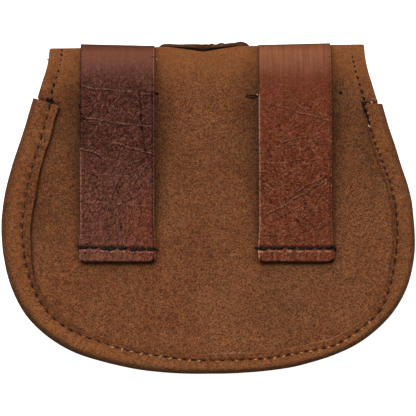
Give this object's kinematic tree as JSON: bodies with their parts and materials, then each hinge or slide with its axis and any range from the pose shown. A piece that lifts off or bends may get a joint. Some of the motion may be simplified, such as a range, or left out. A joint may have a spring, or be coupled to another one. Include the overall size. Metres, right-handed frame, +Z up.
{
  "type": "belt bag",
  "caption": "Rounded brown suede belt bag lying on its flap, with smooth leather belt loops down its back and a wrapped, sewn rim.",
  "frame": {"origin": "on the floor under the middle of the bag, which lies on its flap with its back up", "axes": "+X across the bag, to the right as its back is seen; +Y towards its top edge; +Z up, out of its back"},
  "size_m": [0.1858, 0.1487, 0.0441],
  "materials": {
    "brown_suede": "matte napped",
    "dark_smooth_leather": "satin creased",
    "red_smooth_leather": "satin"
  },
  "bodies": {
    "root": {"back_panel": "brown_suede", "belt_loop_left": "dark_smooth_leather", "belt_loop_right": "red_smooth_leather", "flap": "red_smooth_leather", "front_panel": "brown_suede", "gusset": "brown_suede"}
  },
  "joints": []
}
